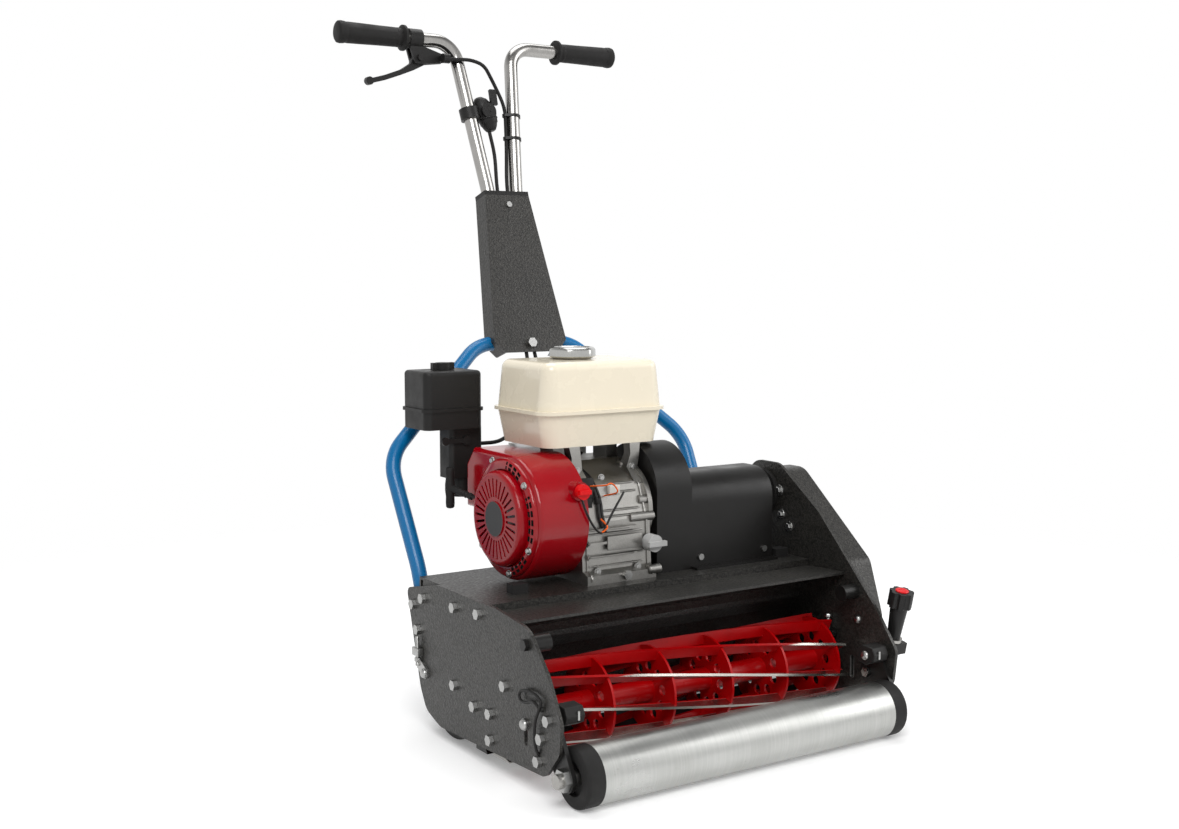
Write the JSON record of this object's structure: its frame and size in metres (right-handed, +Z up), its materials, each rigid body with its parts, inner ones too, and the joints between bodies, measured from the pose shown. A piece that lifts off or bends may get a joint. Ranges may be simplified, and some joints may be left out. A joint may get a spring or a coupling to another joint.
{
  "type": "reel mower",
  "caption": "Petrol reel lawn mower with red cutting reel, steel front roller, rear drum, engine on a deck, chain case, blue hoop and a twin handlebar.",
  "frame": {"origin": "centre of the bounding box on the ground under the mower", "axes": "+Z up, -Y towards the front roller and cutting reel, +Y back to the handle, X across the machine with the chain cover on +X"},
  "size_m": [0.531, 0.6438, 0.8891],
  "materials": {
    "hammertone": "hammered",
    "black_paint": "satin",
    "blue_paint": "gloss",
    "red_paint": "gloss",
    "chrome": "polished",
    "steel": "machined",
    "zinc": "galvanised",
    "cast_alloy": "as cast",
    "rubber": "matte",
    "black_plastic": "matte",
    "tank_cream": "gloss",
    "red_plastic": "gloss",
    "grey_plastic": "matte"
  },
  "bodies": {
    "frame": {"side_plate_left": "hammertone", "side_plate_right": "hammertone", "deck": "hammertone", "console": "hammertone", "chain_cover": "hammertone", "tie_bars": "black_paint", "bedknife_holder": "black_paint", "reel_bearings": "black_paint", "adjuster_block": "black_paint", "countershaft_bearing": "black_paint", "clutch_cover": "black_paint", "drive_housing": "black_paint", "catcher_pegs": "black_paint", "muffler": "black_paint", "bedknife": "steel", "drive_chains": "steel", "bolts": "zinc", "fan_cover": "red_paint", "recoil_starter": "red_paint", "hoop": "blue_paint", "handlebar_left": "chrome", "handlebar_right": "chrome", "grips": "rubber", "deck_bumpers": "rubber", "clutch_cable": "rubber", "throttle_cable": "rubber", "console_cap": "black_plastic", "lever_bracket": "black_plastic", "throttle_housing": "black_plastic", "cable_ties": "black_plastic", "air_cleaner": "black_plastic", "carburettor": "black_plastic", "crankcase": "cast_alloy", "cylinder": "cast_alloy", "fuel_tank": "tank_cream"},
    "reel": {"reel_shaft": "red_paint", "reel_spiders": "red_paint", "reel_blades": "red_paint", "reel_sprocket": "steel"},
    "drum": {"drum_halves": "black_paint", "drum_axle": "steel", "drum_sprocket": "steel"},
    "countershaft_body": {"countershaft": "steel", "drive_sprocket": "steel"},
    "roller_frame": {"roller_arms": "black_paint", "roller_axle": "steel", "roller_nuts": "zinc"},
    "roller": {"front_roller": "zinc", "roller_caps": "rubber"},
    "adjuster": {"adjuster_knob": "black_plastic", "adjuster_screw": "steel"},
    "clutch_lever_body": {"clutch_lever": "black_plastic"},
    "throttle_lever_body": {"throttle_lever": "black_plastic"},
    "crank": {"crankshaft": "steel"},
    "starter": {"starter_grip": "black_plastic"},
    "cap": {"fuel_cap": "chrome"},
    "air_nut": {"air_knob": "black_plastic"},
    "choke": {"choke_lever": "black_plastic"},
    "oil_plug": {"oil_cap": "grey_plastic"},
    "switch": {"engine_switch": "red_plastic"}
  },
  "joints": [
    {"name": "drum_spin", "type": "hinge", "parent": "frame", "child": "drum", "pos_m": [-0.0198, -0.018, 0.066], "axis": [1, 0, 0], "continuous": true},
    {"name": "reel_spin", "type": "hinge", "parent": "frame", "child": "reel", "pos_m": [-0.0198, -0.168, 0.068], "axis": [1, 0, 0], "continuous": true},
    {"name": "countershaft_spin", "type": "hinge", "parent": "frame", "child": "countershaft_body", "pos_m": [0.0802, -0.042, 0.264], "axis": [1, 0, 0], "continuous": true},
    {"name": "crank_spin", "type": "hinge", "parent": "frame", "child": "crank", "pos_m": [-0.0798, -0.042, 0.264], "axis": [1, 0, 0], "continuous": true},
    {"name": "cut_height", "type": "hinge", "parent": "frame", "child": "roller_frame", "pos_m": [-0.0198, -0.249, 0.066], "axis": [1, 0, 0], "range_deg": [-3, 3]},
    {"name": "roller_spin", "type": "hinge", "parent": "roller_frame", "child": "roller", "pos_m": [-0.0198, -0.289, 0.0329], "axis": [1, 0, 0], "continuous": true},
    {"name": "adjuster_turn", "type": "hinge", "parent": "frame", "child": "adjuster", "pos_m": [0.2422, -0.258, 0.104], "axis": [0, -0.2084, 0.978], "range_deg": [-180, 180]},
    {"name": "clutch_squeeze", "type": "hinge", "parent": "frame", "child": "clutch_lever_body", "pos_m": [-0.1198, 0.3044, 0.846], "axis": [0, 1, 0], "range_deg": [0, 18], "stiffness_Nm_per_rad": 0.8, "springref_deg": -6.88},
    {"name": "throttle_set", "type": "hinge", "parent": "frame", "child": "throttle_lever_body", "pos_m": [-0.0295, 0.27831, 0.77443], "axis": [0, 0.9658, -0.2593], "range_deg": [-35, 35]},
    {"name": "choke_set", "type": "hinge", "parent": "frame", "child": "choke", "pos_m": [-0.1698, 0.085, 0.344], "axis": [0, 1, 0], "range_deg": [-35, 0]},
    {"name": "switch_turn", "type": "hinge", "parent": "frame", "child": "switch", "pos_m": [-0.1238, -0.118, 0.3], "axis": [0, 1, 0], "range_deg": [0, 60]},
    {"name": "fuel_cap_turn", "type": "hinge", "parent": "frame", "child": "cap", "pos_m": [-0.0648, -0.005, 0.45], "axis": [0, 0, 1], "range_deg": [0, 90]},
    {"name": "oil_cap_turn", "type": "hinge", "parent": "frame", "child": "oil_plug", "pos_m": [-0.0178, -0.11, 0.228], "axis": [0, 1, 0], "range_deg": [0, 180]},
    {"name": "air_knob_turn", "type": "hinge", "parent": "frame", "child": "air_nut", "pos_m": [-0.1918, 0.099, 0.434], "axis": [0, 0, 1], "range_deg": [0, 180]},
    {"name": "starter_pull", "type": "slide", "parent": "frame", "child": "starter", "axis": [0, 1, 0], "range_m": [0, 0.035], "stiffness_N_per_m": 60, "springref_m": -0.02}
  ],
  "couplings": [
    {"joint": "reel_spin", "follows": "drum_spin", "ratio": 1.3333},
    {"joint": "countershaft_spin", "follows": "drum_spin", "ratio": 2},
    {"joint": "adjuster_turn", "follows": "cut_height", "ratio": 60}
  ]
}
